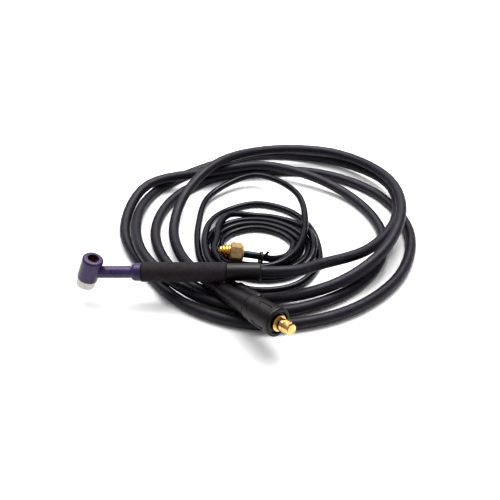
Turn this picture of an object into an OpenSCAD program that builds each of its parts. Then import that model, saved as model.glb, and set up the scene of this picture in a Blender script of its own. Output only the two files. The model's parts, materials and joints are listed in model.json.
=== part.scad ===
// TIG welding torch with its lead set: power cable with bayonet plug, gas hose with union nut.
// Millimetres. The origin is the middle of the head's bore, on the torch's own axis.
// +X runs along the handle to the cable, +Z is up.

/* [Head] */
// Outer diameter of the moulded head
head_d = 22.8; // [21:0.2:25]
// Torch axis to the top rim of the head
head_top = 20.5; // [16:0.5:30]
// Torch axis to the lower end of the moulded head
head_bottom = 7.5; // [7.5:0.5:18]
// Lean of the head's bore towards the handle, in degrees
head_tilt = 22; // [0:1:30]
// Wall of the moulded head
head_wall = 2.4; // [1.8:0.1:3]
// Radius of the rounded top rim
rim_r = 3; // [1:0.1:3.4]
// Diameter of the opening in the top rim
mouth_d = 12.4; // [10.5:0.1:14]
// Depth of the opening above the copper body
mouth_depth = 6; // [3:0.5:8]
// Diameter of the copper body's through bore
electrode_bore_d = 9.5; // [8:0.1:10]
// Outer diameter of the front insulator
insulator_d = 21; // [19:0.2:24]
// Height of the front insulator
insulator_h = 10.8; // [8:0.1:16]
// Diameter of the copper spigot that the insulator sits on
seat_d = 14; // [12.5:0.1:15]

/* [Neck] */
// Outer diameter of the moulded neck
neck_d = 13.5; // [11.5:0.1:15]
// Torch axis origin to the start of the flare
neck_l = 46; // [35:1:70]
// Outer diameter of the copper neck tube
tube_d = 8; // [7:0.1:9]
// Wall of the copper neck tube
tube_wall = 1.2; // [0.8:0.1:1.8]
// Length of the rounded flare
flare_l = 5.5; // [4:0.5:9]
// Diameter of the collar behind the flare
collar_d = 19.9; // [18.4:0.1:21]
// Length of the collar
collar_l = 5.5; // [4:0.5:12]

/* [Handle] */
// Outer diameter of the handle
handle_d = 21.5; // [20.9:0.1:26]
// Length of the handle
handle_l = 94; // [85:1:130]
// Wall of the handle
handle_wall = 1.85; // [1.2:0.05:2.1]
// Length of each spigot inside the handle
spigot_l = 10; // [8:0.5:14]
// Outer diameter of the smooth rear sleeve
sleeve_d = 19.6; // [18.6:0.1:24]
// Length of the smooth rear sleeve
sleeve_l = 37; // [20:1:60]
// Depth of the ring groove on the front spigot
groove_depth = 0.8; // [0.4:0.1:1]

/* [Cable] */
// Outer diameter of the power cable
cable_d = 13; // [11:0.1:13.4]
// Wall of the cable's jacket
jacket_wall = 1.9; // [1.2:0.1:2]
// Diameter of the copper strands
strand_d = 4.8; // [3.6:0.1:5.4]
// Width across the flats of the union nut inside the handle
union_af = 15; // [14:0.1:15.2]
// Length of the union nut inside the handle
union_l = 17; // [15:0.5:20]
// Thickness of the seal washer
washer_t = 1.5; // [0.8:0.1:2]
// Length of the barbed tail of the cable stem
barb_l = 20; // [14:1:26]
// Length of the crimped cable ferrule
ferrule_l = 16; // [10:0.5:18]
// Wall of the crimped cable ferrule
ferrule_wall = 1.1; // [0.6:0.1:1.2]

/* [Plug] */
// Length of the rubber boot
boot_l = 60; // [54:1:80]
// Diameter of the boot's small end
boot_rear_d = 18; // [16.6:0.2:20]
// Diameter of the boot behind its shoulder
boot_front_d = 24; // [21:0.2:25]
// Diameter of the boot's rounded shoulder
shoulder_d = 26.8; // [25.4:0.2:28]
// Length of the boot's rounded shoulder
shoulder_l = 11; // [8:0.5:13]
// Length of the barrel behind its front ring
barrel_l = 28.5; // [27:0.5:40]
// Diameter of the barrel at the boot
barrel_rear_d = 29; // [28.2:0.2:31]
// Diameter of the barrel at its front ring
barrel_front_d = 30.4; // [29.4:0.2:31]
// Outer diameter of the front ring
ring_d = 31; // [31:0.2:38]
// Length of the front ring
ring_l = 5; // [4.5:0.5:10]
// Diameter of the front ring's open mouth
ring_mouth_d = 23; // [20:0.2:25]
// Diameter of the plug pin
pin_d = 13; // [11:0.1:13.2]
// Length of the plug pin in front of its flange
pin_l = 16.5; // [14:0.5:28]
// Diameter of the flange behind the pin
flange_d = 17.6; // [16:0.1:19]
// Thickness of the flange behind the pin
flange_t = 5; // [2:0.1:6]
// Height of the bayonet lug above the pin
lug_h = 1.7; // [1:0.1:2.2]
// Width of the bayonet lug
lug_w = 5; // [3:0.1:6]
// Length of the bayonet lug
lug_l = 7; // [4:0.5:8]
// Distance of the bayonet lug from the pin's tip
lug_back = 1.5; // [1:0.1:4]
// Number of grip recesses round the barrel
recess_n = 4; // [3:1:8]
// Length of a grip recess
recess_l = 19; // [14:0.5:20]
// Distance of a grip recess from the barrel's rear end
recess_z = 6.8; // [3:0.1:7]
// Turn of the grip recesses round the barrel, in degrees
recess_turn = 8; // [0:1:89]
// Width of a grip recess
recess_w = 5.6; // [3:0.1:6]
// Depth of a grip recess
recess_depth = 1.1; // [0.4:0.1:1.5]
// Diameter of the round dot in a grip recess
dot_d = 2.4; // [1:0.1:2.8]
// Diameter of the two clamp screws
screw_d = 5; // [4:0.1:6]
// Distance between the two clamp screws
screw_pitch = 8; // [7:0.5:10]

/* [Gas line] */
// Outer diameter of the gas hose
hose_d = 8.5; // [7:0.1:8.8]
// Bore of the gas hose where a brass tail goes in
hose_bore_d = 4.6; // [4:0.1:5.2]
// Length of hose pushed into the gas branch
hose_seat_l = 18; // [12:0.5:20]
// Distance of the gas branch from the boot's axis
branch_off = 15; // [14.6:0.1:17]
// Outer diameter of the gas branch
branch_d = 12.4; // [11.4:0.1:14]
// Distance of the gas branch's mouth from the barrel
branch_l = 50; // [44:0.5:53]
// Width across the flats of the gas nut
nut_af = 21.6; // [18.6:0.1:22]
// Length of the gas nut's hexagon
nut_l = 13.6; // [10:0.1:15]
// Turn of the hexagon on its axis, in degrees
nut_turn = 39; // [0:1:59]
// Diameter of the gas nut's thread at the hexagon
thread_d = 18.8; // [16:0.1:19.8]
// Number of thread crests on the gas nut
thread_n = 3; // [2:1:4]
// Distance between thread crests
thread_pitch = 3.6; // [2:0.1:4]
// Depth of the thread
thread_depth = 1.5; // [0.5:0.1:1.6]
// Diameter of the nipple's shank inside the gas nut
shank_d = 6; // [5:0.1:7]
// Diameter of the nipple's nose at the gas nut
nose_d = 12; // [8.6:0.1:13]
// Length of the nipple's nose
nose_l = 3.4; // [3:0.1:6]
// Play of the gas nut between the nose and the hose
nut_play = 0.3; // [0.2:0.05:0.6]
// Width of the cable tie
tie_w = 2.8; // [1.5:0.1:3]
// Thickness of the cable tie
tie_t = 1.1; // [0.8:0.1:1.6]

/* [Fits] */
// Radial clearance of pushed and threaded fits
fit = 0.05; // [0.02:0.01:0.1]
// Height of the torch axis above the floor that the leads lie on
rest_height = 37; // [37:0.5:50]

/* [Hidden] */
$fn = 72;
over = 1;
reach = 1000;

// ---- head and neck ----
head_r = head_d / 2;
pocket_r = head_r - head_wall;
mouth_z = head_top - mouth_depth;
seat_z = -head_bottom - insulator_h + 2;
neck_r = neck_d / 2;
neck_x = pocket_r / 2;
collar_r = collar_d / 2;
flare_rise = collar_r - neck_r;
flare_r = (flare_l * flare_l + flare_rise * flare_rise) / (2 * flare_rise);
tube_r = tube_d / 2;
tube_gap = 0.5;
tube_x0 = electrode_bore_d / 2 / cos(head_tilt) + tube_r * tan(head_tilt) + tube_gap;
handle_x = neck_l + flare_l + collar_l;
spigot_x = handle_x + spigot_l;

// ---- handle ----
handle_r = handle_d / 2;
handle_in_r = handle_r - handle_wall;
spigot_r = handle_in_r - fit;
handle_end_x = handle_x + handle_l;
sleeve_end_x = handle_end_x + sleeve_l;
groove_w = 2;
groove_x = handle_x + spigot_l / 2 - groove_w / 2;
edge_r = 0.8;

// ---- torch end of the cable ----
cable_r = cable_d / 2;
jacket_in_r = cable_r - jacket_wall;
strand_r = strand_d / 2;
connector_r = spigot_r - groove_depth - 1.1;
connector_x = handle_x - 5;
tube_end_x = connector_x + 8;
joint_thread_r = 5.4;
joint_thread_l = 7;
washer_x = spigot_x + joint_thread_l;
stem_x = washer_x + washer_t;
stem_flange_l = 2.5;
stem_flange_r = joint_thread_r - 0.4;
stem_shank_r = 3.6;
stem_bore_r = strand_r + fit;
union_x = spigot_x + 1;
barb_x = union_x + union_l + 2;
barb_n = 5;
barb_end_x = barb_x + barb_l;
jacket_x = barb_x + 0.5;
ferrule_x = jacket_x + 1.5;
strand_in_l = 10;
strand_x = barb_end_x - strand_in_l;

// ---- lay of the leads ----
floor_z = -rest_height;
cable_centre = [195, 124];
hose_centre = [183, 97];
station_step = 30;
cable_start = 300;
hose_start = 180;

// Radius and height above the floor of each cable station, one row for each turn.
cable_radii = [
    118, 136, 166, 202, 213, 205, 186, 180, 165, 160.5, 153, 154.5,
    150.5, 151.5, 150, 145, 140, 147, 149, 186, 180.5, 164, 168.5, 174,
    176, 181, 186, 183, 170, 154, 152, 147, 141, 137, 139, 133,
    143, 155, 172, 196, 208, 178.5, 140, 124, 117, 119
];
cable_heights = [
    30, 24, 21, 16, 7, 6, 5.2, 5.2, 13.5, 20, 9.5, 5.2,
    5.2, 5.2, 5.2, 7, 15, 19, 19, 18.5, 8, 5.2, 5.2, 5.2,
    5.2, 5.2, 5.2, 5.2, 5.2, 5.2, 5.2, 5.2, 5.2, 5.2, 5.2, 6,
    17, 28, 35, 30, 23, 27, 34, 21, 10, 13
];

// Radius and height above the floor of each hose station, one row for each turn.
hose_radii = [
    63.5, 69, 83.5, 93.5, 88.5, 80.5, 78, 86, 92, 89, 81, 75,
    73, 86, 125, 150.5, 111.5, 74, 59, 55, 57, 59.5, 64, 58,
    48, 54, 66, 63.5, 65.5, 70, 72, 75.5, 73, 67, 63, 62,
    62, 60, 56.5, 54, 55, 59.5, 67, 66.5, 62, 57.5, 54, 52.5,
    52.5, 50.5, 47, 44.5, 45.5, 50, 57.3, 56, 51, 47, 44.5, 43,
    43, 40, 36, 35, 36, 40.5, 47, 45.5, 41.5
];
hose_heights = [
    12.5, 10.6, 4, 3.4, 3.4, 3.4, 3.4, 3.4, 3.4, 3.4, 3.4, 3.4,
    3.4, 4, 8, 16, 20, 18.2, 14, 12.7, 12.5, 12.5, 12.5, 12.5,
    12.6, 13.4, 10, 3.8, 3.4, 6, 11.7, 8.6, 3.7, 3.4, 3.4, 3.4,
    3.4, 3.4, 3.4, 3.4, 3.4, 3.4, 3.4, 3.4, 3.4, 3.4, 3.4, 3.4,
    3.4, 3.4, 3.4, 3.4, 3.4, 3.4, 3.4, 3.4, 4.4, 6.2, 3.4, 3.4,
    3.4, 3.4, 3.4, 3.4, 3.4, 3.4, 3.4, 3.4, 7.6
];
cable_lead = [[231, 6, -2]];
cable_tail = [[108, 32, -19]];
hose_lead = [[141, 21, -18.9], [124, 61, -23.4]];

// ---- plug: its own axis runs from the boot's small end to the pin's tip ----
plug_pos = [183.3, -57.5, -3.7];
plug_turn = -50;
plug_rise = 11;
plug_dir = [cos(plug_turn) * cos(plug_rise), sin(plug_turn) * cos(plug_rise), sin(plug_rise)];
plug_side = [-sin(plug_turn), cos(plug_turn), 0];
boot_rear_r = boot_rear_d / 2;
boot_front_r = boot_front_d / 2;
shoulder_r = shoulder_d / 2;
shoulder_edge_r = 3;
barrel_rear_r = barrel_rear_d / 2;
barrel_front_r = barrel_front_d / 2;
ring_r = ring_d / 2;
ring_mouth_r = ring_mouth_d / 2;
pin_r = pin_d / 2;
body_r = 7.5;
body_back = 18;
boot_spigot_r = 9;
boot_spigot_l = 6;
ring_seat_r = barrel_front_r - 2.5;
ring_edge_r = 2.5;
ring_seat_l = 2;
body_front = barrel_l + ring_seat_l;
pin_thread_r = 5;
pin_thread_l = 14;
pin_edge = 0.7;
pin_relief = 0.3;
crimp_r = strand_r + 1.7;
crimp_l = 20;
crimp_back = body_back - 2;
screw_z = -8;
screw_sink = 0.6;
screw_socket = 1;
jacket_stop = body_back + 1;

// ---- gas branch on the boot ----
hose_r = hose_d / 2;
tail_r = hose_bore_d / 2 - fit;
branch_r = branch_d / 2;
branch_stop = branch_l - hose_seat_l;
branch_front = shoulder_l;
branch_edge_r = 4;
elbow_z = -14;
elbow_r = 2.2;
gas_bore_r = 1.4;
tail_back = 3;
web_w = 7;

// ---- gas nut: its own axis runs to the nipple's nose ----
nut_pos = [159.2, 55.2, -15.7];
nut_rise = 10;
nut_dir = [-cos(nut_rise), 0, sin(nut_rise)];
nut_half = nut_l / 2;
nut_bore_r = shank_d / 2 + fit;
nut_collar_l = 2;
nut_back = nut_half + nut_collar_l;
thread_l = thread_n * thread_pitch;
thread_taper = 0.9;
nut_front = nut_half + thread_l;
hose_stub_l = 6;
nose_tip_r = 3.2;
nose_rim = 1;
hose_stub_z = nut_back + nut_play;
hose_stub_end = hose_stub_z + hose_stub_l;

// ---- cable tie: round the hose's lead and the strand under it ----
tie_low = [187.2, 49.8, -30.6];
tie_high = [188.9, 55.7, -22];
tie_roll = -64;
tie_slack = 0.9;
tie_head = 4;
tie_head_h = 1.6;
tie_head_at = 0.75;
tie_tail_l = 12.5;
tie_tail_lift = 20;
tie_tail_skew = 26;

// ---- routes ----
function unit(v) = v / norm(v);

function stations(centre, radii, heights, start, step) = [
    for (i = [0 : len(radii) - 1])
        [
            centre.x + radii[i] * cos(start + i * step),
            centre.y + radii[i] * sin(start + i * step),
            floor_z + heights[i]
        ]
];

function slope(p, i) =
    let (back = norm(p[i] - p[i - 1]), ahead = norm(p[i + 1] - p[i]))
    ((p[i] - p[i - 1]) / back * ahead + (p[i + 1] - p[i]) / ahead * back) / (back + ahead);

function slopes(p, first, last) = [
    for (i = [0 : len(p) - 1]) i == 0 ? first : i == len(p) - 1 ? last : slope(p, i)
];

function bend(a, b, ta, tb, s) =
    let (h = norm(b - a), s2 = s * s, s3 = s2 * s)
    (2 * s3 - 3 * s2 + 1) * a + (s3 - 2 * s2 + s) * h * ta
    + (3 * s2 - 2 * s3) * b + (s3 - s2) * h * tb;

function curve(p, first, last, n) =
    let (t = slopes(p, first, last))
    concat(
        [for (i = [0 : len(p) - 2]) for (j = [0 : n - 1]) bend(p[i], p[i + 1], t[i], t[i + 1], j / n)],
        [p[len(p) - 1]]
    );

// A whole route: straight for one diameter out of the first end, and into the last.
function route(from, out, points, to, into, d, n) = concat(
    [from],
    curve(concat([from + out * d], points, [to - into * d]), out, into, n),
    [to]
);

cable_from = [sleeve_end_x, 0, 0];
cable_to = plug_pos - plug_dir * boot_l;
cable_coil = stations(cable_centre, cable_radii, cable_heights, cable_start, station_step);
cable_points = concat(cable_lead, cable_coil, cable_tail);

hose_from = plug_pos - plug_dir * branch_l + plug_side * branch_off;
hose_to = nut_pos - nut_dir * hose_stub_end;
hose_coil = stations(hose_centre, hose_radii, hose_heights, hose_start, -station_step);
hose_points = concat(hose_lead, hose_coil);

function cable_route(n) = route(cable_from, [1, 0, 0], cable_points, cable_to, plug_dir, cable_d, n);
function hose_route(n) = route(hose_from, -plug_dir, hose_points, hose_to, nut_dir, hose_d, n);

// Distance along a route from its start to each of its points.
function runs(p) = [
    for (i = 0, run = 0; i < len(p); i = i + 1, run = i < len(p) ? run + norm(p[i] - p[i - 1]) : run) run
];

// Least distance between stretches over three diameters apart along a route, less its diameter.
function self_gap(p, run, d) = min([
    for (i = [0 : len(p) - 1])
        min([for (j = [i : len(p) - 1]) run[j] - run[i] > 3 * d ? norm(p[i] - p[j]) : 100 * d])
]) - d;

// One unbroken tube of triangles along a route, with an edge of its section below.
module swept(p, d, sides) {
    last = len(p) - 1;
    rings = [
        for (i = [0 : last])
            let (
                ahead = unit(p[min(i + 1, last)] - p[max(i - 1, 0)]),
                side = unit(cross(ahead, [0, 0, 1])),
                up = cross(side, ahead)
            )
            [for (k = [0 : sides - 1]) let (a = 90 + 360 * k / sides)
                p[i] + (side * cos(a) + up * sin(a)) * d / 2]
    ];
    walls = [
        for (i = [0 : last - 1]) for (k = [0 : sides - 1])
            let (a = i * sides + k, b = i * sides + (k + 1) % sides)
            each [[a, b, a + sides], [b, b + sides, a + sides]]
    ];
    tip = (last + 1) * sides;
    caps = [
        for (k = [0 : sides - 1]) let (n = (k + 1) % sides)
            each [[tip, n, k], [tip + 1, last * sides + k, last * sides + n]]
    ];
    points = concat([for (ring = rings) each ring], [p[0], p[last]]);
    polyhedron(points, concat(walls, caps));
}

// ---- small helpers ----
module above_floor() { translate([-reach, -reach, floor_z]) cube(2 * reach); }

module on_x() { rotate([0, 90, 0]) children(); }

module rod_x(r, from, to) { translate([from, 0, 0]) on_x() cylinder(r = r, h = to - from); }

module rod_z(r, from, to) { translate([0, 0, from]) cylinder(r = r, h = to - from); }

module pipe_x(r, bore_r, from, to) {
    difference() {
        rod_x(r, from, to);
        rod_x(bore_r, from - over, to + over);
    }
}

module pipe_z(r, bore_r, from, to) {
    difference() {
        rod_z(r, from, to);
        rod_z(bore_r, from - over, to + over);
    }
}

// Solid of revolution about +X from [radius, x] points.
module lathe_x(points) { on_x() rotate_extrude() polygon(points); }

module lathe_z(points) { rotate_extrude() polygon(points); }

module in_head() { rotate([0, head_tilt, 0]) children(); }

module in_plug() { translate(plug_pos) rotate([0, 90 - plug_rise, plug_turn]) children(); }

module in_branch() { in_plug() translate([0, branch_off, 0]) children(); }

module in_nut() { translate(nut_pos) rotate([0, nut_rise - 90, 0]) children(); }

function arc(cx, cy, r, from, to) = [
    for (i = [0 : 6]) let (a = from + (to - from) * i / 6) [cx + r * cos(a), cy + r * sin(a)]
];

// ---- head ----
module head_cover() color("#3f3a4f") {
    difference() {
        union() {
            in_head() lathe_z(concat(
                [[0, -head_bottom], [head_r, -head_bottom]],
                arc(head_r - rim_r, head_top - rim_r, rim_r, 0, 90),
                [[0, head_top]]
            ));
            lathe_x(concat(
                [[0, neck_x], [neck_r, neck_x]],
                arc(collar_r - flare_r, neck_l + flare_l, flare_r, -asin(flare_l / flare_r), 0),
                [
                    [collar_r, handle_x], [spigot_r, handle_x], [spigot_r, groove_x],
                    [spigot_r - groove_depth, groove_x], [spigot_r - groove_depth, groove_x + groove_w],
                    [spigot_r, groove_x + groove_w], [spigot_r, spigot_x], [0, spigot_x]
                ]
            ));
        }
        in_head() rod_z(pocket_r, -head_bottom - over, mouth_z);
        in_head() rod_z(mouth_d / 2, 0, head_top + over);
        rod_x(tube_r + fit, 0, spigot_x);
        rod_x(connector_r + fit, connector_x, spigot_x + over);
    }
}

module head_body() color("#b06a3c") {
    difference() {
        in_head() union() {
            rod_z(pocket_r - fit, -head_bottom, mouth_z);
            rod_z(seat_d / 2, seat_z, -head_bottom + over);
        }
        in_head() rod_z(electrode_bore_d / 2, -head_bottom - insulator_h, head_top + over);
        rod_x(tube_r + fit, tube_x0, head_d);
        rod_x(tube_r - tube_wall, 0, head_d);
    }
}

module front_insulator() color("#c9c6bf") {
    in_head() lathe_z(concat(
        [[seat_d / 2 + fit, -head_bottom], [seat_d / 2 + fit, -head_bottom - insulator_h]],
        arc(insulator_d / 2 - edge_r, -head_bottom - insulator_h + edge_r, edge_r, -90, 0),
        [[insulator_d / 2, -head_bottom]]
    ));
}

module neck_tube() color("#b06a3c") { pipe_x(tube_r, tube_r - tube_wall, tube_x0, tube_end_x); }

module neck_connector() color("#c79a4b") {
    difference() {
        union() {
            rod_x(connector_r, connector_x, spigot_x);
            rod_x(joint_thread_r, spigot_x - over, washer_x);
        }
        rod_x(tube_r + fit, connector_x - over, tube_end_x);
        rod_x(tube_r - tube_wall, connector_x, washer_x + over);
    }
}

// ---- torch end of the cable, inside the handle ----
module seal_washer() color("#222222") { pipe_x(stem_flange_r, tube_r - tube_wall, washer_x, stem_x); }

module cable_union_nut() color("#c79a4b") {
    difference() {
        translate([union_x, 0, 0]) on_x() cylinder(r = union_af / 2 / cos(30), h = union_l, $fn = 6);
        rod_x(joint_thread_r + fit, union_x - over, stem_x + stem_flange_l + fit);
        rod_x(stem_shank_r + fit, union_x, union_x + union_l + over);
    }
}

module cable_stem() color("#c79a4b") {
    step = barb_l / barb_n;
    difference() {
        union() {
            rod_x(stem_flange_r, stem_x, stem_x + stem_flange_l);
            rod_x(stem_shank_r, stem_x, barb_x + over);
            for (i = [0 : barb_n - 1])
                translate([barb_x + i * step, 0, 0]) on_x()
                    cylinder(r1 = jacket_in_r - fit, r2 = jacket_in_r - 0.6, h = step);
        }
        rod_x(stem_bore_r, stem_x - over, barb_end_x + over);
    }
}

module cable_ferrule() color("#b9bcc0") {
    pipe_x(cable_r + fit + ferrule_wall, cable_r + fit, ferrule_x, ferrule_x + ferrule_l);
}

module cable_end_torch() color("#2e2b2d") { pipe_x(cable_r, jacket_in_r, jacket_x, sleeve_end_x); }

module torch_conductor() color("#b5673a") { rod_x(strand_r, strand_x, sleeve_end_x); }

// ---- handle ----
module handle_ring() color("#1c1c1c") {
    pipe_x(spigot_r, spigot_r - groove_depth + fit, groove_x + fit, groove_x + groove_w - fit);
}

module handle_shell() color("#2c2827") {
    lathe_x(concat(
        [[handle_in_r, handle_x]],
        arc(handle_r - edge_r, handle_x + edge_r, edge_r, -90, 0),
        arc(handle_r - edge_r, handle_end_x - edge_r, edge_r, 0, 90),
        [[handle_in_r, handle_end_x]]
    ));
}

module cable_sleeve() color("#343032") {
    lathe_x(concat(
        [
            [cable_r + fit, handle_end_x - spigot_l], [spigot_r, handle_end_x - spigot_l],
            [spigot_r, handle_end_x], [sleeve_d / 2, handle_end_x]
        ],
        arc(sleeve_d / 2 - 2 * edge_r, sleeve_end_x - 2 * edge_r, 2 * edge_r, 0, 90),
        [[cable_r + fit, sleeve_end_x]]
    ));
}

// ---- power cable, coiled ----
module power_cable() color("#2e2b2d") {
    centres = cable_route(12);
    run = runs(centres);
    echo(cable_length = run[len(run) - 1], cable_self_gap = self_gap(centres, run, cable_d));
    intersection() {
        swept(cable_route(2), cable_d, 6);
        above_floor();
    }
}

// ---- plug ----
module cable_end_plug() color("#2e2b2d") { in_plug() pipe_z(cable_r, jacket_in_r, -boot_l, -jacket_stop); }

module plug_conductor() color("#b5673a") { in_plug() rod_z(strand_r, -boot_l, crimp_l - crimp_back); }

module conductor_ferrule() color("#b9bcc0") {
    in_plug() pipe_z(crimp_r, strand_r + fit, -crimp_back, crimp_l - crimp_back);
}

module plug_clamp_body() color("#c79a4b") {
    in_plug() difference() {
        rod_z(body_r, -body_back, body_front);
        rod_z(crimp_r + fit, -body_back - over, crimp_l - crimp_back + fit);
        rod_z(pin_thread_r + fit, body_front - pin_thread_l - fit, body_front + over);
        for (i = [0, 1]) screw_at(i, 0) rod_z(screw_d / 2 + fit, 0, body_r + over);
    }
}

module screw_at(i, from) {
    translate([0, 0, screw_z + i * screw_pitch]) rotate([90, 0, 0]) translate([0, 0, from]) children();
}

module clamp_screws() color("#5a5c60") {
    screw_l = body_r - crimp_r - screw_sink;
    in_plug() for (i = [0, 1]) screw_at(i, crimp_r + 2 * fit) difference() {
        rod_z(screw_d / 2, 0, screw_l);
        translate([0, 0, screw_l - screw_socket])
            cylinder(r = screw_d / 4, h = screw_socket + over, $fn = 6);
    }
}

module plug_boot() color("#2b282a") {
    difference() {
        union() {
            in_plug() lathe_z(concat(
                [[0, -boot_l]],
                arc(boot_rear_r - edge_r, -boot_l + edge_r, edge_r, -90, 0),
                [[boot_front_r, -shoulder_l]],
                arc(shoulder_r - shoulder_edge_r, -shoulder_l + shoulder_edge_r, shoulder_edge_r, -60, 0),
                arc(shoulder_r - edge_r, -edge_r, edge_r, 0, 90),
                [[boot_spigot_r, 0], [boot_spigot_r, boot_spigot_l], [0, boot_spigot_l]]
            ));
            in_branch() lathe_z(concat(
                [[0, -branch_l]],
                arc(branch_r - edge_r, -branch_l + edge_r, edge_r, -90, 0),
                arc(branch_r - branch_edge_r, -branch_front - branch_edge_r, branch_edge_r, 0, 90),
                [[0, -branch_front]]
            ));
            in_plug() translate([-web_w / 2, 0, -branch_l + branch_edge_r])
                cube([web_w, branch_off, branch_l - branch_front - 2 * branch_edge_r]);
        }
        in_plug() rod_z(cable_r + fit, -boot_l - over, 0);
        in_plug() rod_z(body_r + fit, -body_back - fit, boot_spigot_l + over);
        in_branch() rod_z(hose_r + fit, -branch_l - over, -branch_stop);
        in_branch() rod_z(elbow_r + fit, -branch_stop - over, elbow_z + elbow_r + fit);
        in_plug() translate([0, 0, elbow_z]) rotate([-90, 0, 0]) rod_z(elbow_r + fit, 0, branch_off);
    }
}

module at_recess(i) { rotate([0, 0, recess_turn + 360 * i / recess_n]) children(); }

module grip_recess(z0, depth_r) {
    half = recess_w / 2;
    for (z = [z0 + half, z0 + recess_l - half])
        translate([depth_r, 0, z]) on_x() cylinder(r = half, h = ring_r, $fn = 32);
    translate([depth_r, -half, z0 + half]) cube([ring_r, recess_w, recess_l - recess_w]);
}

module plug_barrel() color("#2b282a") {
    floor_r = (barrel_rear_r + barrel_front_r) / 2 - recess_depth;
    in_plug() {
        difference() {
            lathe_z(concat(
                [
                    [body_r + fit, boot_spigot_l], [boot_spigot_r + fit, boot_spigot_l],
                    [boot_spigot_r + fit, 0]
                ],
                arc(barrel_rear_r - edge_r, edge_r, edge_r, -90, 0),
                [
                    [barrel_front_r, barrel_l], [ring_seat_r, barrel_l], [ring_seat_r, body_front],
                    [body_r + fit, body_front]
                ]
            ));
            for (i = [0 : recess_n - 1]) at_recess(i) grip_recess(recess_z, floor_r);
        }
        for (i = [0 : recess_n - 1]) at_recess(i)
            translate([floor_r - over, 0, recess_z + recess_w / 2])
                on_x() cylinder(r = dot_d / 2, h = over + recess_depth * 0.7);
    }
}

module plug_front_ring() color("#242123") {
    in_plug() lathe_z(concat(
        [[ring_seat_r + fit, body_front], [ring_seat_r + fit, barrel_l]],
        arc(ring_r - edge_r, barrel_l + edge_r, edge_r, -90, 0),
        arc(ring_r - ring_edge_r, barrel_l + ring_l - ring_edge_r, ring_edge_r, 0, 90),
        [[ring_mouth_r, barrel_l + ring_l], [ring_mouth_r, body_front]]
    ));
}

module plug_pin() color("#d8a44a") {
    top = body_front + flange_t;
    tip = top + pin_l;
    lug_z = tip - lug_back - lug_l;
    flange_r = flange_d / 2;
    in_plug() {
        rod_z(pin_thread_r, body_front - pin_thread_l, body_front + over);
        lathe_z([
            [0, body_front], [flange_r, body_front], [flange_r, top - pin_edge],
            [flange_r - pin_edge, top], [pin_r, top], [pin_r, lug_z], [pin_r - pin_relief, lug_z],
            [pin_r - pin_relief, tip - pin_edge], [pin_r - pin_relief - pin_edge, tip], [0, tip]
        ]);
        intersection() {
            translate([-pin_r - lug_h, -lug_w / 2, lug_z]) cube([pin_r, lug_w, lug_l]);
            rod_z(pin_r + lug_h, lug_z, lug_z + lug_l);
        }
    }
}

// ---- gas line ----
module gas_takeoff() color("#c79a4b") {
    elbow_l = branch_off - body_r - fit;
    difference() {
        union() {
            in_branch() rod_z(elbow_r, -branch_stop, elbow_z + elbow_r);
            in_branch() rod_z(tail_r, -branch_l + tail_back, -branch_stop + over);
            in_plug() translate([0, body_r + fit, elbow_z]) rotate([-90, 0, 0]) rod_z(elbow_r, 0, elbow_l);
        }
        in_branch() rod_z(gas_bore_r, -branch_l, elbow_z);
        in_plug() translate([0, body_r, elbow_z]) rotate([-90, 0, 0]) rod_z(gas_bore_r, 0, elbow_l);
    }
}

module hose_end_branch() color("#141315") {
    in_branch() pipe_z(hose_r, hose_bore_d / 2, -branch_l, -branch_stop - fit);
}

module gas_hose() color("#141315") {
    centres = hose_route(8);
    run = runs(centres);
    echo(hose_length = run[len(run) - 1], hose_self_gap = self_gap(centres, run, hose_d));
    intersection() {
        swept(hose_route(2), hose_d, 6);
        above_floor();
    }
}

module hose_end_nut() color("#141315") {
    in_nut() pipe_z(hose_r, hose_bore_d / 2, -hose_stub_end, -hose_stub_z);
}

module gas_nipple() color("#d8b36a") {
    shank_r = shank_d / 2;
    nose_r = nose_d / 2;
    front = nut_front + nut_play;
    in_nut() difference() {
        lathe_z(concat(
            [[0, -hose_stub_end + fit], [tail_r, -hose_stub_end + fit], [tail_r, -hose_stub_z + fit]],
            [[hose_r, -hose_stub_z + fit], [hose_r, -hose_stub_z + nut_play / 2]],
            [[shank_r, -hose_stub_z + nut_play / 2], [shank_r, front]],
            [[nose_r, front], [nose_r, front + nose_rim]],
            [[nose_tip_r, front + nose_l], [0, front + nose_l]]
        ));
        rod_z(gas_bore_r, -hose_stub_end, front + nose_l + over);
    }
}

module gas_nut() color("#a08a5a") {
    hex_r = nut_af / 2 / cos(30);
    chamfer = hex_r - nut_af / 2;
    root = thread_d / 2 - thread_depth;
    in_nut() difference() {
        union() {
            intersection() {
                rotate([0, 0, nut_turn]) translate([0, 0, -nut_half])
                    cylinder(r = hex_r, h = nut_l, $fn = 6);
                lathe_z([
                    [0, -nut_half], [hex_r - chamfer, -nut_half], [hex_r, -nut_half + chamfer],
                    [hex_r, nut_half - chamfer], [hex_r - chamfer, nut_half], [0, nut_half]
                ]);
            }
            rod_z(nut_af / 2 - 1, -nut_back, -nut_half + over);
            rod_z(root - thread_n * thread_taper, nut_half - over, nut_front);
            for (i = [0 : thread_n - 1])
                translate([0, 0, nut_half + i * thread_pitch])
                    thread_crest(thread_d / 2 - i * thread_taper);
        }
        rod_z(nut_bore_r, -nut_back - over, nut_front + over);
    }
}

module thread_crest(r) {
    lathe_z([
        [0, 0], [r - thread_depth, 0], [r, thread_pitch * 0.35], [r, thread_pitch * 0.6],
        [r - thread_depth - thread_taper, thread_pitch], [0, thread_pitch]
    ]);
}

// ---- cable tie ----
module tie_ring(r, w) {
    across = norm(tie_high - tie_low);
    linear_extrude(w, center = true) union() {
        circle(r = r);
        translate([across, 0]) circle(r = r);
        translate([0, -r]) square([across, 2 * r]);
    }
}

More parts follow.
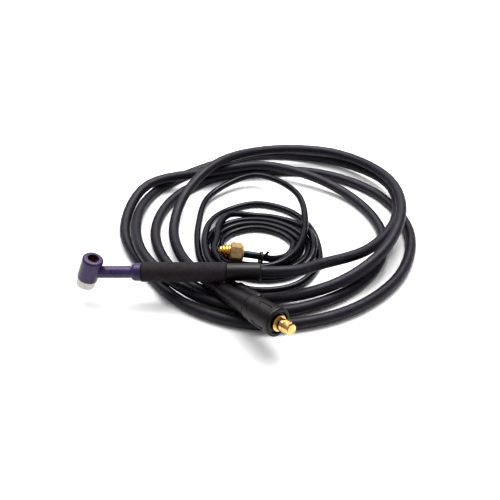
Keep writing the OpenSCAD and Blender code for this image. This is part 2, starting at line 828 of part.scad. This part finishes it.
module cable_tie() color("#18181a") {
    way = tie_high - tie_low;
    turn = atan2(way.y, way.x);
    lean = acos(way.z / norm(way));
    inner = hose_r + tie_slack;
    head_x = norm(way) * tie_head_at;
    translate(tie_low) rotate([0, lean, turn]) rotate(tie_roll) rotate([0, -90, 0]) {
        difference() {
            tie_ring(inner + tie_t, tie_w);
            tie_ring(inner, 2 * tie_w);
        }
        translate([head_x - tie_head / 2, -inner - tie_t - tie_head_h, -tie_head / 2])
            cube([tie_head, tie_head_h + tie_t / 2, tie_head]);
        translate([head_x, -inner - tie_t, 0]) rotate([0, tie_tail_skew, -tie_tail_lift])
            translate([0, -tie_t, -tie_w / 2]) cube([tie_tail_l, tie_t, tie_w]);
    }
}

head_cover();
head_body();
front_insulator();
neck_tube();
neck_connector();
seal_washer();
cable_union_nut();
cable_stem();
cable_ferrule();
cable_end_torch();
torch_conductor();
handle_ring();
handle_shell();
cable_sleeve();
power_cable();
cable_end_plug();
plug_conductor();
conductor_ferrule();
plug_clamp_body();
clamp_screws();
plug_boot();
plug_barrel();
plug_front_ring();
plug_pin();
gas_takeoff();
hose_end_branch();
gas_hose();
hose_end_nut();
gas_nipple();
gas_nut();
cable_tie();
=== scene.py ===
import json
import math

import bmesh
import bpy
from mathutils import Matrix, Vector


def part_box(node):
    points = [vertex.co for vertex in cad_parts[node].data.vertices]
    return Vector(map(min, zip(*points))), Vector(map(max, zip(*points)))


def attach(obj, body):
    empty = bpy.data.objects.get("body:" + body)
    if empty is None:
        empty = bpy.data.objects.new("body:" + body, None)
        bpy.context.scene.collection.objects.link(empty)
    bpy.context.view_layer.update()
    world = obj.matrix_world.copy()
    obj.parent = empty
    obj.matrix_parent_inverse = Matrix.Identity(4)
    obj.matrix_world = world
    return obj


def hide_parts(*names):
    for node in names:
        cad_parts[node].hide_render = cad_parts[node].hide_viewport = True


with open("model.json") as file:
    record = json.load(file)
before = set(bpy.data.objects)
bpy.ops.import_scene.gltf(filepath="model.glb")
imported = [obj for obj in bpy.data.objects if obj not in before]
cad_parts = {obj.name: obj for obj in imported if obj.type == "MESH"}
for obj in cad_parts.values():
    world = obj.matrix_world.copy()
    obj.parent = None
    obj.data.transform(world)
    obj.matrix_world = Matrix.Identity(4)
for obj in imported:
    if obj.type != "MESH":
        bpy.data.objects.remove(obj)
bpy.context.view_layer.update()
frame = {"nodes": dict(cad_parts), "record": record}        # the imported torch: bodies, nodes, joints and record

mm = 0.001
root = "torch"           # the body that everything but the gas nut rides on


cameraFacts = {
    "target": (176.0, 89.0, -37.0),   # the middle of the view, on the floor
    "distance": 750.0,
    "elevation": 37.0,                # degrees above the floor, looking along +Y
    "lens": 43.2,
    "sensor": 36.0,
    "nearest": 10.0,                  # the camera shows what lies between these two
    "farthest": 20000.0,
}


def makeCamera(facts):
    up = math.radians(facts["elevation"])
    target = Vector(facts["target"])
    place = target + facts["distance"] * Vector((0, -math.cos(up), math.sin(up)))
    data = bpy.data.cameras.new("camera")
    data.lens = facts["lens"]
    data.sensor_width = facts["sensor"]
    data.clip_start = facts["nearest"] * mm
    data.clip_end = facts["farthest"] * mm
    camera = bpy.data.objects.new("camera", data)
    bpy.context.scene.collection.objects.link(camera)
    camera.location = place * mm
    camera.rotation_euler = (math.radians(90) - up, 0, 0)
    bpy.context.scene.camera = camera


makeCamera(cameraFacts)
print("camera made")


floorHeight = -37.0      # of the CAD leads' flat undersides, below the torch axis
stationAngle = 30        # degrees from one coil station to the next
stepsPerStation = 6      # points of the smooth curve from one station to the next
cordRounding = 8         # how finely a cord's round section is divided

# each cord runs through its lead, its coil stations and its tail, as in the torch's own source
cableFacts = {
    "diameter": 13.0,
    "centre": (195.0, 124.0),
    "start": 300,        # degrees round the centre, of the first station
    "from": (188.0, 0.0, 0.0),
    "lead": [(231, 6, -2)],
    "tail": [(108, 32, -19)],
    # of each station: its distance from the centre, and its height above floorHeight
    "radii": [
        118, 136, 166, 202, 213, 205, 186, 180, 165, 160.5, 153, 154.5,
        150.5, 151.5, 150, 145, 140, 147, 149, 186, 180.5, 164, 168.5, 174,
        176, 181, 186, 183, 170, 154, 152, 147, 141, 137, 139, 133,
        143, 155, 172, 196, 208, 178.5, 140, 124, 117, 119,
    ],
    "heights": [
        30, 24, 21, 16, 7, 6, 5.2, 5.2, 13.5, 20, 9.5, 5.2,
        5.2, 5.2, 5.2, 7, 15, 19, 19, 18.5, 8, 5.2, 5.2, 5.2,
        5.2, 5.2, 5.2, 5.2, 5.2, 5.2, 5.2, 5.2, 5.2, 5.2, 5.2, 6,
        17, 28, 35, 30, 23, 27, 34, 21, 10, 13,
    ],
}

hoseFacts = {
    "diameter": 8.5,
    "centre": (183.0, 97.0),
    "start": 180,
    "lead": [(141, 21, -18.9), (124, 61, -23.4)],
    "tail": [],
    "radii": [
        63.5, 69, 83.5, 93.5, 88.5, 80.5, 78, 86, 92, 89, 81, 75,
        73, 86, 125, 150.5, 111.5, 74, 59, 55, 57, 59.5, 64, 58,
        48, 54, 66, 63.5, 65.5, 70, 72, 75.5, 73, 67, 63, 62,
        62, 60, 56.5, 54, 55, 59.5, 67, 66.5, 62, 57.5, 54, 52.5,
        52.5, 50.5, 47, 44.5, 45.5, 50, 57.3, 56, 51, 47, 44.5, 43,
        43, 40, 36, 35, 36, 40.5, 47, 45.5, 41.5,
    ],
    "heights": [
        12.5, 10.6, 4, 3.4, 3.4, 3.4, 3.4, 3.4, 3.4, 3.4, 3.4, 3.4,
        3.4, 4, 8, 16, 20, 18.2, 14, 12.7, 12.5, 12.5, 12.5, 12.5,
        12.6, 13.4, 10, 3.8, 3.4, 6, 11.7, 8.6, 3.7, 3.4, 3.4, 3.4,
        3.4, 3.4, 3.4, 3.4, 3.4, 3.4, 3.4, 3.4, 3.4, 3.4, 3.4, 3.4,
        3.4, 3.4, 3.4, 3.4, 3.4, 3.4, 3.4, 3.4, 4.4, 6.2, 3.4, 3.4,
        3.4, 3.4, 3.4, 3.4, 3.4, 3.4, 3.4, 3.4, 7.6,
    ],
}

plugFacts = {
    "place": (183.3, -57.5, -3.7),    # on the plug's axis, where the boot meets the barrel
    "turn": -50,                      # degrees from +X, seen from above
    "rise": 11,                       # degrees up from level
    "bootLength": 60.0,
    "branchOffset": 15.0,             # of the gas hose's branch from the plug's axis
    "branchLength": 50.0,
}
nutFacts = {
    "place": (159.2, 55.2, -15.7),    # the middle of the gas nut's hexagon
    "rise": 10,                       # degrees up from level, along -X
    "hoseEnd": 15.1,                  # where the hose ends, behind the middle
    "hexagonEnd": 6.9,                # just beyond the hexagon's face, where the thread begins
}

headWay = (0.375, 0.0, 0.927)         # along the head's bore
plugTurn = math.radians(plugFacts["turn"])
plugRise = math.radians(plugFacts["rise"])
plugWay = Vector((math.cos(plugTurn) * math.cos(plugRise),
                  math.sin(plugTurn) * math.cos(plugRise), math.sin(plugRise)))
plugSide = Vector((-math.sin(plugTurn), math.cos(plugTurn), 0))
plugPlace = Vector(plugFacts["place"])
nutRise = math.radians(nutFacts["rise"])
nutWay = Vector((-math.cos(nutRise), 0, math.sin(nutRise)))
nutPlace = Vector(nutFacts["place"])
cableExit = Vector(cableFacts["from"])
cableEnd = plugPlace - plugWay * plugFacts["bootLength"]
hoseExit = plugPlace - plugWay * plugFacts["branchLength"] + plugSide * plugFacts["branchOffset"]
hoseEnd = nutPlace - nutWay * nutFacts["hoseEnd"]


def coilStations(facts, step):
    points = []
    for i, (radius, height) in enumerate(zip(facts["radii"], facts["heights"])):
        angle = math.radians(facts["start"] + i * step)
        x = facts["centre"][0] + radius * math.cos(angle)
        y = facts["centre"][1] + radius * math.sin(angle)
        points.append(Vector((x, y, floorHeight + height)))
    return points


def cordStations(facts, step):
    lead = [Vector(point) for point in facts["lead"]]
    tail = [Vector(point) for point in facts["tail"]]
    return lead + coilStations(facts, step) + tail


def smoothRun(points, firstWay, lastWay, steps):
    # a cubic from station to station, whose way at each one leans to the nearer neighbour
    ways = [firstWay]
    for i in range(1, len(points) - 1):
        back = (points[i] - points[i - 1]).length
        ahead = (points[i + 1] - points[i]).length
        before = (points[i] - points[i - 1]) / back
        after = (points[i + 1] - points[i]) / ahead
        ways.append((before * ahead + after * back) / (back + ahead))
    ways.append(lastWay)
    run = []
    for i in range(len(points) - 1):
        a, b = points[i], points[i + 1]
        h = (b - a).length
        for j in range(steps):
            s = j / steps
            run.append((2 * s**3 - 3 * s**2 + 1) * a + (s**3 - 2 * s**2 + s) * h * ways[i]
                       + (3 * s**2 - 2 * s**3) * b + (s**3 - s**2) * h * ways[i + 1])
    run.append(points[-1])
    lowest = min(point.z for point in points)
    for point in run:                 # the curve may not dip under its stations, into the floor
        point.z = max(point.z, lowest)
    return run


def cordRun(start, out, points, end, into, diameter):
    # straight for one diameter at each end, and a smooth curve between them
    middle = [start + out * diameter] + points + [end - into * diameter]
    return [start] + smoothRun(middle, out, into, stepsPerStation) + [end]


def makeCord(name, run, diameter):
    data = bpy.data.curves.new(name, "CURVE")
    data.dimensions = "3D"
    data.bevel_depth = diameter / 2 * mm
    data.bevel_resolution = cordRounding
    data.use_fill_caps = True
    spline = data.splines.new("POLY")
    spline.points.add(len(run) - 1)
    for point, place in zip(spline.points, run):
        point.co = (*(place * mm), 1)
    spline.use_smooth = True
    cord = bpy.data.objects.new(name, data)
    bpy.context.scene.collection.objects.link(cord)
    return cord


cableRun = cordRun(cableExit, Vector((1, 0, 0)), cordStations(cableFacts, stationAngle),
                   cableEnd, plugWay, cableFacts["diameter"])
hoseRun = cordRun(hoseExit, -plugWay, cordStations(hoseFacts, -stationAngle),
                  hoseEnd, nutWay, hoseFacts["diameter"])
powerCable = makeCord("power_cable_jacket", cableRun, cableFacts["diameter"])
gasHose = makeCord("gas_hose_tube", hoseRun, hoseFacts["diameter"])
print("cords made")


def hexColour(text):
    channels = [int(text[i:i + 2], 16) / 255 for i in (1, 3, 5)]
    linear = [c / 12.92 if c <= 0.04045 else ((c + 0.055) / 1.055) ** 2.4 for c in channels]
    return (*linear, 1)


def perMetre(sizeMm):
    return 1 / (sizeMm * mm)          # texture scale for a pattern of that size


def addNode(tree, kind, settings=None, inputs=None):
    node = tree.nodes.new("ShaderNode" + kind)
    for name, value in (settings or {}).items():
        setattr(node, name, value)
    for name, value in (inputs or {}).items():
        if isinstance(value, bpy.types.NodeSocket):
            tree.links.new(value, node.inputs[name])
        else:
            node.inputs[name].default_value = value
    return node


patternFacts = {
    # how finely each noise is divided
    "driftDetail": 4.0,
    "wearDetail": 5.0,
    "shineDetail": 3.0,
    "grainDetail": 2.0,
    "markDetail": 2.0,
    "shadeStops": (0.34, 0.66),       # noise at which the dark shade ends and the light one begins
    "wearFade": 0.12,                 # noise over which a patch of dust or wear sets in
    "shineStops": (0.3, 0.7),         # noise at which a surface is at its smoothest and roughest
    "shineParts": 3,                  # patches of shine across one patch of shade
    "cutFade": 0.4,                   # mm over which a bright cut surface sets in
}
mixUnder, mixOver, mixed = 6, 7, 2    # a Mix node's colour sockets, by place as their names repeat


def patternNoises(tree, place, facts):
    sizes = {
        "drift": facts["driftSize"],
        "wear": facts["wearSize"],
        "shine": facts["driftSize"] / patternFacts["shineParts"],
        "grain": facts["grainSize"],
    }
    noises = {}
    for name, size in sizes.items():
        node = addNode(tree, "TexNoise", None, {"Vector": place, "Scale": perMetre(size),
                                                "Detail": patternFacts[name + "Detail"]})
        noises[name] = node.outputs["Fac"]
    return noises


def wornShade(tree, facts, noises):
    # two shades that drift into each other, under dust or wear in small patches
    shades = addNode(tree, "ValToRGB", None, {"Fac": noises["drift"]})
    for element, stop, shade in zip(shades.color_ramp.elements, patternFacts["shadeStops"],
                                    (facts["dark"], facts["light"])):
        element.position = stop
        element.color = hexColour(shade)
    patches = addNode(tree, "MapRange", None,
                      {"Value": noises["wear"], "From Min": facts["wearFrom"],
                       "From Max": facts["wearFrom"] + patternFacts["wearFade"],
                       "To Max": facts["wearAmount"]})
    worn = addNode(tree, "Mix", {"data_type": "RGBA"},
                   {"Factor": patches.outputs["Result"], mixUnder: shades.outputs["Color"],
                    mixOver: hexColour(facts["wear"])})
    # on the handle grip, a painted highlight lightens the tips of the diamonds
    if "crestHighlight" not in facts:
        return worn.outputs[mixed]
    marked = addNode(tree, "Attribute", {"attribute_name": "crestHighlight"})
    crestHighlightMix = addNode(tree, "Mix", {"data_type": "RGBA"},
                    {"Factor": marked.outputs["Fac"], mixUnder: worn.outputs[mixed],
                     mixOver: hexColour(facts["crestHighlight"])})
    return crestHighlightMix.outputs[mixed]


def cutBright(tree, place, facts, shade):
    # from a point of its axis onward the piece is freshly cut: brighter, smoother and all metal
    cut = facts["cut"]
    along = addNode(tree, "VectorMath", {"operation": "DOT_PRODUCT"}, {0: place, 1: cut["axis"]})
    bright = addNode(tree, "MapRange", None,
                     {"Value": along.outputs["Value"], "From Min": cut["from"] * mm,
                      "From Max": (cut["from"] + patternFacts["cutFade"]) * mm}).outputs["Result"]
    clean = addNode(tree, "Mix", {"data_type": "RGBA"},
                    {"Factor": bright, mixUnder: shade, mixOver: hexColour(cut["colour"])})
    roughness = addNode(tree, "MapRange", None,
                        {"Value": bright, "To Min": sum(facts["roughness"]) / 2,
                         "To Max": cut["roughness"]})
    metallic = addNode(tree, "MapRange", None, {"Value": bright, "To Min": facts["metallic"]})
    return clean.outputs[mixed], roughness.outputs["Result"], metallic.outputs["Result"]


def surfaceRelief(tree, place, facts, grain):
    # a grain, and on a turned piece tool marks that run round its axis: both are drawn
    # coarser than the real ones, which are about 0.1 mm apart and too fine to show
    height = grain
    if "turned" in facts:
        along = addNode(tree, "VectorMath", {"operation": "DOT_PRODUCT"},
                        {0: place, 1: facts["turned"]})
        marks = addNode(tree, "TexNoise", {"noise_dimensions": "1D"},
                        {"W": along.outputs["Value"], "Scale": perMetre(facts["markSize"]),
                         "Detail": patternFacts["markDetail"]})
        both = addNode(tree, "Math", {"operation": "ADD"}, {0: grain, 1: marks.outputs["Fac"]})
        height = both.outputs["Value"]
    bump = addNode(tree, "Bump", None,
                   {"Height": height, "Strength": facts["grainStrength"],
                    "Distance": facts["grainDepth"] * mm})
    return bump.outputs["Normal"]


def surfaceMaterial(name, facts):
    material = bpy.data.materials.new(name)
    material.use_nodes = True
    tree = material.node_tree
    tree.nodes.clear()
    place = addNode(tree, "TexCoord").outputs["Object"]
    noises = patternNoises(tree, place, facts)
    shade = wornShade(tree, facts, noises)
    if "cut" in facts:
        shade, roughness, metallic = cutBright(tree, place, facts, shade)
    else:
        shine = addNode(tree, "MapRange", None,
                        {"Value": noises["shine"], "From Min": patternFacts["shineStops"][0],
                         "From Max": patternFacts["shineStops"][1],
                         "To Min": facts["roughness"][0], "To Max": facts["roughness"][1]})
        roughness, metallic = shine.outputs["Result"], facts["metallic"]
    normal = surfaceRelief(tree, place, facts, noises["grain"])
    shader = addNode(tree, "BsdfPrincipled", None,
                     {"Base Color": shade, "Roughness": roughness, "Metallic": metallic,
                      "Normal": normal, **facts.get("sockets", {})})
    addNode(tree, "OutputMaterial", None, {"Surface": shader.outputs["BSDF"]})
    return material


cableRubber = surfaceMaterial("cable rubber, extruded", {
    # soft extruded rubber: a broad, dull highlight on a cool grey-black, with a little dust
    "dark": "#120e19", "light": "#1a1522", "driftSize": 40, "wear": "#2d2833", "wearSize": 9,
    "wearFrom": 0.56, "wearAmount": 0.35, "roughness": (0.42, 0.54),
    "grainSize": 0.45, "grainDepth": 0.02, "grainStrength": 0.35, "metallic": 0.0,
    "sockets": {"Specular IOR Level": 0.3},
})
hosePvc = surfaceMaterial("gas hose PVC, extruded", {
    # smooth extruded PVC: near-black with a narrow, bright highlight
    "dark": "#090812", "light": "#100f1b", "driftSize": 25, "wear": "#1c1a2a", "wearSize": 6,
    "wearFrom": 0.58, "wearAmount": 0.4, "roughness": (0.07, 0.14),
    "grainSize": 3.0, "grainDepth": 0.04, "grainStrength": 0.3, "metallic": 0.0,
    "sockets": {"Specular IOR Level": 0.22},
})
headPhenolic = surfaceMaterial("head phenolic, moulded and polished", {
    # polished moulding: dark violet with a clear, soft-edged highlight
    "dark": "#302246", "light": "#3b2b53", "driftSize": 14, "wear": "#544a68", "wearSize": 3,
    "wearFrom": 0.60, "wearAmount": 0.3, "roughness": (0.24, 0.36),
    "grainSize": 0.8, "grainDepth": 0.015, "grainStrength": 0.3, "metallic": 0.0,
    "sockets": {"Specular IOR Level": 0.38},
})
handleNylon = surfaceMaterial("handle nylon, moulded grip", {
    # matt nylon under a fine diamond grip: nearly no highlight, with a painted highlight that lightens the
    # diamond tips
    "dark": "#151014", "light": "#1c161a", "driftSize": 18, "wear": "#332c30", "wearSize": 1.2,
    "wearFrom": 0.55, "wearAmount": 0.3, "roughness": (0.62, 0.76), "crestHighlight": "#5e565a",
    "grainSize": 0.5, "grainDepth": 0.05, "grainStrength": 0.5, "metallic": 0.0,
    "sockets": {"Specular IOR Level": 0.15},
})
sleeveRubber = surfaceMaterial("sleeve rubber, moulded smooth", {
    # smooth moulded rubber: a wide satin highlight
    "dark": "#100b10", "light": "#181217", "driftSize": 16, "wear": "#2b252a", "wearSize": 5,
    "wearFrom": 0.57, "wearAmount": 0.3, "roughness": (0.34, 0.44),
    "grainSize": 0.5, "grainDepth": 0.02, "grainStrength": 0.3, "metallic": 0.0,
    "sockets": {"Specular IOR Level": 0.36},
})
plugRubber = surfaceMaterial("plug rubber, moulded", {
    # fine-grained moulded rubber: soft grey sheen on the upper side, dust in small patches
    "dark": "#0d080c", "light": "#150f13", "driftSize": 12, "wear": "#332c32", "wearSize": 2.5,
    "wearFrom": 0.56, "wearAmount": 0.35, "roughness": (0.32, 0.42),
    "grainSize": 0.4, "grainDepth": 0.03, "grainStrength": 0.4, "metallic": 0.0,
    "sockets": {"Specular IOR Level": 0.32},
})
ptfe = surfaceMaterial("PTFE, turned", {
    # waxy off-white that lets a little light in under the surface
    "dark": "#bfbcb3", "light": "#d4d1ca", "driftSize": 9, "wear": "#a39e92", "wearSize": 2,
    "wearFrom": 0.6, "wearAmount": 0.3, "roughness": (0.35, 0.5),
    "grainSize": 0.5, "grainDepth": 0.02, "grainStrength": 0.3, "metallic": 0.0,
    "turned": headWay, "markSize": 0.5,
    "sockets": {"Subsurface Weight": 0.15, "Subsurface Radius": (0.002, 0.002, 0.0018),
                "Subsurface Scale": 0.5, "IOR": 1.38},
})
copper = surfaceMaterial("copper, drawn", {
    # bare copper that has darkened in patches
    "dark": "#a4563a", "light": "#d08660", "driftSize": 6, "wear": "#6a3524", "wearSize": 2,
    "wearFrom": 0.58, "wearAmount": 0.6, "roughness": (0.25, 0.42),
    "grainSize": 0.3, "grainDepth": 0.02, "grainStrength": 0.4, "metallic": 1.0,
})
brassMachined = surfaceMaterial("brass, machined", {
    # turned brass inside the joints: warm yellow with fine tool marks
    "dark": "#b48a45", "light": "#cfa862", "driftSize": 5, "wear": "#8a6a38", "wearSize": 1.5,
    "wearFrom": 0.6, "wearAmount": 0.4, "roughness": (0.25, 0.38),
    "grainSize": 0.3, "grainDepth": 0.015, "grainStrength": 0.4, "metallic": 1.0,
})
pinBrass = surfaceMaterial("brass, turned and polished", {
    # polished brass: hard white highlights, faint rings from the lathe, small brown stains
    "dark": "#caa45e", "light": "#ebcc93", "driftSize": 5, "wear": "#946a34", "wearSize": 1.6,
    "wearFrom": 0.58, "wearAmount": 0.55, "roughness": (0.09, 0.18),
    "grainSize": 0.35, "grainDepth": 0.008, "grainStrength": 0.3, "metallic": 1.0,
    "turned": tuple(plugWay), "markSize": 0.35,
})
nippleBrass = surfaceMaterial("brass, turned and bright", {
    # bright turned brass of the gas nipple, with rings round its own axis
    "dark": "#c8923c", "light": "#ecc47a", "driftSize": 4, "wear": "#8f6228", "wearSize": 1.2,
    "wearFrom": 0.58, "wearAmount": 0.5, "roughness": (0.14, 0.26),
    "grainSize": 0.3, "grainDepth": 0.008, "grainStrength": 0.3, "metallic": 1.0,
    "turned": tuple(nutWay), "markSize": 0.4,
})
nutBrass = surfaceMaterial("brass, dulled by handling", {
    # oxidised brass, so only partly metallic: a dull tan that drifts in shade, with darker
    # stains, while the cut thread stays bright
    "dark": "#8c714c", "light": "#a98c64", "driftSize": 4, "wear": "#6c5538", "wearSize": 1.4,
    "wearFrom": 0.57, "wearAmount": 0.5, "roughness": (0.46, 0.60),
    "grainSize": 0.3, "grainDepth": 0.02, "grainStrength": 0.5, "metallic": 0.45,
    "cut": {"axis": tuple(nutWay), "from": nutPlace.dot(nutWay) + nutFacts["hexagonEnd"],
            "colour": "#e2b768", "roughness": 0.17},
})
steel = surfaceMaterial("steel, zinc plated", {
    # zinc plating: pale grey with a soft, slightly blotchy shine
    "dark": "#9a9ca0", "light": "#b9bcc0", "driftSize": 4, "wear": "#7c7e82", "wearSize": 1.5,
    "wearFrom": 0.6, "wearAmount": 0.4, "roughness": (0.3, 0.42),
    "grainSize": 0.3, "grainDepth": 0.02, "grainStrength": 0.3, "metallic": 1.0,
})
nylonTie = surfaceMaterial("cable tie nylon, moulded", {
    # smooth nylon strap: black with a clear highlight along its flat side
    "dark": "#0d0d0f", "light": "#17171a", "driftSize": 6, "wear": "#2e2e33", "wearSize": 1.5,
    "wearFrom": 0.6, "wearAmount": 0.4, "roughness": (0.24, 0.34),
    "grainSize": 0.4, "grainDepth": 0.01, "grainStrength": 0.2, "metallic": 0.0,
})

slotMaterials = {
    "moulding": headPhenolic, "copper": copper, "ptfe": ptfe, "brass": brassMachined,
    "seal": sleeveRubber, "steel": steel, "handle": handleNylon, "sleeve": sleeveRubber,
    "cable_jacket": cableRubber, "plug_rubber": plugRubber, "polished_brass": pinBrass,
    "gas_hose": hosePvc, "dull_brass": nutBrass, "tie": nylonTie,
}
nodeMaterials = {"gas_nipple": nippleBrass}
nodes = frame["nodes"]
slotOf = {part["node"]: part["material_slot"] for part in frame["record"]["subparts"]}
for name, slot in slotOf.items():
    nodes[name].data.materials.clear()
    nodes[name].data.materials.append(nodeMaterials.get(name, slotMaterials[slot]))
powerCable.data.materials.append(cableRubber)
gasHose.data.materials.append(hosePvc)
print("materials made")


softFacts = {
    # voxels of the mesh in mm, and smoothing passes, of which more give rounder joints
    "plug_boot": {"voxel": 0.5, "passes": 10},
    "plug_barrel": {"voxel": 0.35, "passes": 2},
    "plug_front_ring": {"voxel": 0.35, "passes": 2},
}


def applyModifiers(piece):
    shaped = piece.evaluated_get(bpy.context.evaluated_depsgraph_get())
    shape = bpy.data.meshes.new_from_object(shaped)
    piece.modifiers.clear()
    piece.data = shape


def mouldedCopy(nodeName, facts):
    piece = bpy.data.objects.new(nodeName + "_moulded", nodes[nodeName].data.copy())
    bpy.context.scene.collection.objects.link(piece)
    remesh = piece.modifiers.new("one skin", "REMESH")
    remesh.mode = "VOXEL"
    remesh.voxel_size = facts["voxel"] * mm
    remesh.use_smooth_shade = True
    smooth = piece.modifiers.new("rounded joints", "SMOOTH")
    smooth.iterations = facts["passes"]
    applyModifiers(piece)
    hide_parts(nodeName)
    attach(piece, root)
    return piece


moulded = {name: mouldedCopy(name, facts) for name, facts in softFacts.items()}
print("moulded pieces made")


handleFacts = {
    "pitch": 2.5,             # from one grip diamond to the next
    "height": 0.16,           # of the diamonds, either way from the mean surface
    "plainEnd": 1.6,          # smooth band at each end
    "fade": 1.0,              # beyond the band, where the diamonds grow to their height
    "stepsPerPitch": 6,
    "edge": 0.8,              # of the rounding at both ends
    "cornerShare": 0.3,       # of that edge, by which its middle lies in from the corner
    "collarFrom": 2.0,        # how far inside the handle the head cover's collar is measured
    "clearance": 0.05,        # round that collar
}


def handleProfile(facts, start, end, radius, inner):
    edge = facts["edge"]
    corner = edge * facts["cornerShare"]
    rows = round((end - start) / facts["pitch"] * facts["stepsPerPitch"])
    profile = [(start, inner), (start, radius - edge), (start + corner, radius - corner)]
    for i in range(rows + 1):
        profile.append((start + edge + (end - start - 2 * edge) * i / rows, radius))
    return profile + [(end - corner, radius - corner), (end, radius - edge), (end, inner)]


def gripWave(facts, x, column, fromEnd):
    # 1 on the tip of a diamond, -1 in a pit between them, 0 in the plain bands
    if fromEnd <= 0:
        return 0
    across = math.cos(2 * math.pi * column / facts["stepsPerPitch"])
    return math.cos(2 * math.pi * x / facts["pitch"]) * (across * min(1, fromEnd / facts["fade"]))


def makeHandle(facts):
    low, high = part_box("handle_shell")
    start, end = low[0] / mm, high[0] / mm
    radius = (high[2] - low[2]) / 2 / mm
    columns = round(2 * math.pi * radius / facts["pitch"]) * facts["stepsPerPitch"]
    collar = [math.hypot(v.co.y, v.co.z) for v in nodes["head_cover"].data.vertices
              if v.co.x > low[0] + facts["collarFrom"] * mm]
    inner = max(collar) / mm + facts["clearance"]
    mesh = bmesh.new()
    rings, crestHighlights = [], []
    for x, r in handleProfile(facts, start, end, radius, inner):
        ring = []
        fromEnd = min(x - start, end - x) - facts["plainEnd"]
        for k in range(columns):
            angle = 2 * math.pi * k / columns
            wave = gripWave(facts, x, k, fromEnd) if r == radius else 0
            lifted = r + facts["height"] * wave
            ring.append(mesh.verts.new((x * mm, lifted * math.cos(angle) * mm,
                                        lifted * math.sin(angle) * mm)))
            # share of the painted highlight at this point: most on a diamond's tip, none in the pits
            crestHighlights.append(max(0, wave) ** 2)
        rings.append(ring)
    rings.append(rings[0])            # the bore closes the shell
    for a, b in zip(rings[:-1], rings[1:]):
        for k in range(columns):
            n = (k + 1) % columns
            mesh.faces.new((a[k], a[n], b[n], b[k]))
    bmesh.ops.recalc_face_normals(mesh, faces=mesh.faces)
    data = bpy.data.meshes.new("handle_grip")
    mesh.to_mesh(data)
    mesh.free()
    data.attributes.new("crestHighlight", "FLOAT", "POINT").data.foreach_set("value", crestHighlights)
    data.polygons.foreach_set("use_smooth", [True] * len(data.polygons))
    data.materials.append(handleNylon)
    piece = bpy.data.objects.new("handle_grip", data)
    bpy.context.scene.collection.objects.link(piece)
    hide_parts("handle_shell")
    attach(piece, root)


makeHandle(handleFacts)
print("handle made")


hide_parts("power_cable")
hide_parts("gas_hose")
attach(powerCable, root)
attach(gasHose, root)


studioFacts = {
    "floorSize": 6000.0,
    "floorDrop": 1.3,                 # below floorHeight, where the round cords' lowest turns rest
    "floorDark": "#f4f4f5",
    "floorLight": "#f8f8f8",
    "worldColour": "#ffffff",
    "worldStrength": 0.37,
    "softboxes": {
        # place, aimed at, size, power in watts
        "wide softbox": ((140, 470, 1250), (176, 90, -37), (1800, 1050), 29),
        "back softbox": ((176, 1400, 1000), (176, 90, -37), (1800, 1200), 7),
        "key softbox": ((430, 560, 1000), (190, 90, -37), (420, 300), 3.5),
    },
}


def makeFloor(facts):
    mesh = bpy.data.meshes.new("floor")
    half = facts["floorSize"] / 2 * mm
    z = (floorHeight - facts["floorDrop"]) * mm
    mesh.from_pydata([(-half, -half, z), (half, -half, z), (half, half, z), (-half, half, z)], [],
                     [(0, 1, 2, 3)])
    floor = bpy.data.objects.new("floor", mesh)
    bpy.context.scene.collection.objects.link(floor)
    material = surfaceMaterial("floor card, matt", {
        # matt coated card: an even, pale ground with no visible highlight
        "dark": facts["floorDark"], "light": facts["floorLight"], "driftSize": 200,
        "wear": facts["floorLight"], "wearSize": 20, "wearFrom": 0.6, "wearAmount": 0.1,
        "roughness": (0.75, 0.85), "grainSize": 2, "grainDepth": 0.01, "grainStrength": 0.1,
        "metallic": 0.0,
    })
    mesh.materials.append(material)


def makeLight(name, place, target, size, power):
    data = bpy.data.lights.new(name, "AREA")
    data.shape = "RECTANGLE"
    data.size, data.size_y = size[0] * mm, size[1] * mm
    data.energy = power
    light = bpy.data.objects.new(name, data)
    bpy.context.scene.collection.objects.link(light)
    light.location = Vector(place) * mm
    way = Vector(target) - Vector(place)
    light.rotation_euler = way.to_track_quat("-Z", "Y").to_euler()


def makeWorld(facts):
    world = bpy.data.worlds.new("studio")
    bpy.context.scene.world = world
    world.use_nodes = True
    background = world.node_tree.nodes["Background"]
    background.inputs["Color"].default_value = hexColour(facts["worldColour"])
    background.inputs["Strength"].default_value = facts["worldStrength"]


makeFloor(studioFacts)
for name, settings in studioFacts["softboxes"].items():
    makeLight(name, *settings)
makeWorld(studioFacts)
bpy.context.scene.view_settings.view_transform = "Standard"
bpy.context.scene.view_settings.look = "Medium High Contrast"
print("floor and light made")
